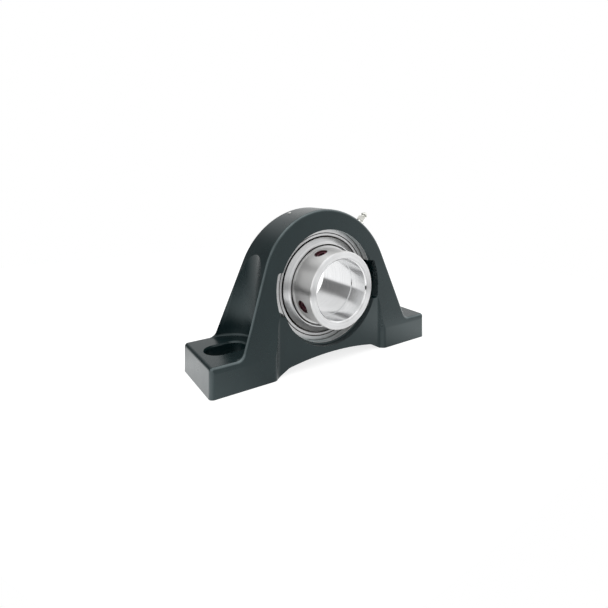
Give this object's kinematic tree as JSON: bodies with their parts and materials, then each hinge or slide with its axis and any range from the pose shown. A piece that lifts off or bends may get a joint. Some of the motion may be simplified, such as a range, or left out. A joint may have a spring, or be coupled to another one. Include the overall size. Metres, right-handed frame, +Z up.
{
  "type": "pillow block bearing",
  "caption": "Cast two-bolt pillow block with a self-aligning ball insert, set-screw collar, flinger seals and an angled grease fitting on the dome.",
  "frame": {"origin": "middle of the base plane, between the two bolt slots", "axes": "+X along the base, +Z up, -Y along the shaft towards the end of the inner ring with the set screws"},
  "size_m": [0.219, 0.0698, 0.129],
  "materials": {
    "cast_body": "satin paint over as-cast iron, bare where machined",
    "bearing_steel": "ground",
    "ball_steel": "polished",
    "cage_steel": "pressed sheet",
    "seal_steel": "pressed sheet",
    "flinger_steel": "pressed sheet, bright",
    "seal_rubber": "moulded",
    "screw_steel": "blackened, with dried thread lock",
    "plated_steel": "zinc plated",
    "pin_steel": "turned",
    "spring_steel": "drawn wire"
  },
  "bodies": {
    "housing_body": {"housing": "cast_body", "ring_lock_pin": "pin_steel", "grease_fitting_body": "plated_steel", "grease_fitting_spring": "spring_steel"},
    "outer_ring_body": {"outer_ring": "bearing_steel", "front_seal_plate": "seal_steel", "rear_seal_plate": "seal_steel", "front_seal_lip": "seal_rubber", "rear_seal_lip": "seal_rubber"},
    "inner_ring_body": {"inner_ring": "bearing_steel", "front_flinger": "flinger_steel", "rear_flinger": "flinger_steel"},
    "cage_body": {"cage_front_half": "cage_steel", "cage_rear_half": "cage_steel", "cage_rivets": "cage_steel"},
    "set_screw_1_body": {"set_screw_1": "screw_steel"},
    "set_screw_2_body": {"set_screw_2": "screw_steel"},
    "check_ball_body": {"grease_fitting_ball": "ball_steel"},
    "ball_01_body": {"ball_01": "ball_steel"},
    "ball_02_body": {"ball_02": "ball_steel"},
    "ball_03_body": {"ball_03": "ball_steel"},
    "ball_04_body": {"ball_04": "ball_steel"},
    "ball_05_body": {"ball_05": "ball_steel"},
    "ball_06_body": {"ball_06": "ball_steel"},
    "ball_07_body": {"ball_07": "ball_steel"},
    "ball_08_body": {"ball_08": "ball_steel"},
    "ball_09_body": {"ball_09": "ball_steel"},
    "ball_10_body": {"ball_10": "ball_steel"}
  },
  "joints": [
    {"name": "self_aligning", "type": "hinge", "parent": "housing_body", "child": "outer_ring_body", "pos_m": [0, 0, 0.0635], "axis": [1, 0, 0], "range_deg": [-2, 2]},
    {"name": "shaft_turn", "type": "hinge", "parent": "outer_ring_body", "child": "inner_ring_body", "pos_m": [0, 0, 0.0635], "axis": [0, 1, 0], "continuous": true},
    {"name": "cage_turn", "type": "hinge", "parent": "outer_ring_body", "child": "cage_body", "pos_m": [0, 0, 0.0635], "axis": [0, 1, 0], "continuous": true},
    {"name": "ball_01_roll", "type": "hinge", "parent": "cage_body", "child": "ball_01_body", "pos_m": [0.03875, 0, 0.0635], "axis": [0, 1, 0], "continuous": true},
    {"name": "ball_02_roll", "type": "hinge", "parent": "cage_body", "child": "ball_02_body", "pos_m": [0.03135, 0, 0.08628], "axis": [0, 1, 0], "continuous": true},
    {"name": "ball_03_roll", "type": "hinge", "parent": "cage_body", "child": "ball_03_body", "pos_m": [0.01197, 0, 0.10035], "axis": [0, 1, 0], "continuous": true},
    {"name": "ball_04_roll", "type": "hinge", "parent": "cage_body", "child": "ball_04_body", "pos_m": [-0.01197, 0, 0.10035], "axis": [0, 1, 0], "continuous": true},
    {"name": "ball_05_roll", "type": "hinge", "parent": "cage_body", "child": "ball_05_body", "pos_m": [-0.03135, 0, 0.08628], "axis": [0, 1, 0], "continuous": true},
    {"name": "ball_06_roll", "type": "hinge", "parent": "cage_body", "child": "ball_06_body", "pos_m": [-0.03875, 0, 0.0635], "axis": [0, 1, 0], "continuous": true},
    {"name": "ball_07_roll", "type": "hinge", "parent": "cage_body", "child": "ball_07_body", "pos_m": [-0.03135, 0, 0.04072], "axis": [0, 1, 0], "continuous": true},
    {"name": "ball_08_roll", "type": "hinge", "parent": "cage_body", "child": "ball_08_body", "pos_m": [-0.01197, 0, 0.02665], "axis": [0, 1, 0], "continuous": true},
    {"name": "ball_09_roll", "type": "hinge", "parent": "cage_body", "child": "ball_09_body", "pos_m": [0.01197, 0, 0.02665], "axis": [0, 1, 0], "continuous": true},
    {"name": "ball_10_roll", "type": "hinge", "parent": "cage_body", "child": "ball_10_body", "pos_m": [0.03135, 0, 0.04072], "axis": [0, 1, 0], "continuous": true},
    {"name": "set_screw_1_travel", "type": "slide", "parent": "inner_ring_body", "child": "set_screw_1_body", "axis": [-0.3584, 0, 0.9336], "range_m": [-0.0007, 0.003]},
    {"name": "set_screw_2_travel", "type": "slide", "parent": "inner_ring_body", "child": "set_screw_2_body", "axis": [-0.9205, 0, -0.3907], "range_m": [-0.0007, 0.003]},
    {"name": "check_ball_lift", "type": "slide", "parent": "housing_body", "child": "check_ball_body", "axis": [-0.6691, 0, -0.7431], "range_m": [0, 0.001], "stiffness_N_per_m": 150, "springref_m": -0.0008, "deforming": ["grease_fitting_spring"]}
  ],
  "couplings": [
    {"joint": "cage_turn", "follows": "shaft_turn", "ratio": 0.40782},
    {"joint": "ball_01_roll", "follows": "shaft_turn", "ratio": -2.6199},
    {"joint": "ball_02_roll", "follows": "shaft_turn", "ratio": -2.6199},
    {"joint": "ball_03_roll", "follows": "shaft_turn", "ratio": -2.6199},
    {"joint": "ball_04_roll", "follows": "shaft_turn", "ratio": -2.6199},
    {"joint": "ball_05_roll", "follows": "shaft_turn", "ratio": -2.6199},
    {"joint": "ball_06_roll", "follows": "shaft_turn", "ratio": -2.6199},
    {"joint": "ball_07_roll", "follows": "shaft_turn", "ratio": -2.6199},
    {"joint": "ball_08_roll", "follows": "shaft_turn", "ratio": -2.6199},
    {"joint": "ball_09_roll", "follows": "shaft_turn", "ratio": -2.6199},
    {"joint": "ball_10_roll", "follows": "shaft_turn", "ratio": -2.6199}
  ]
}
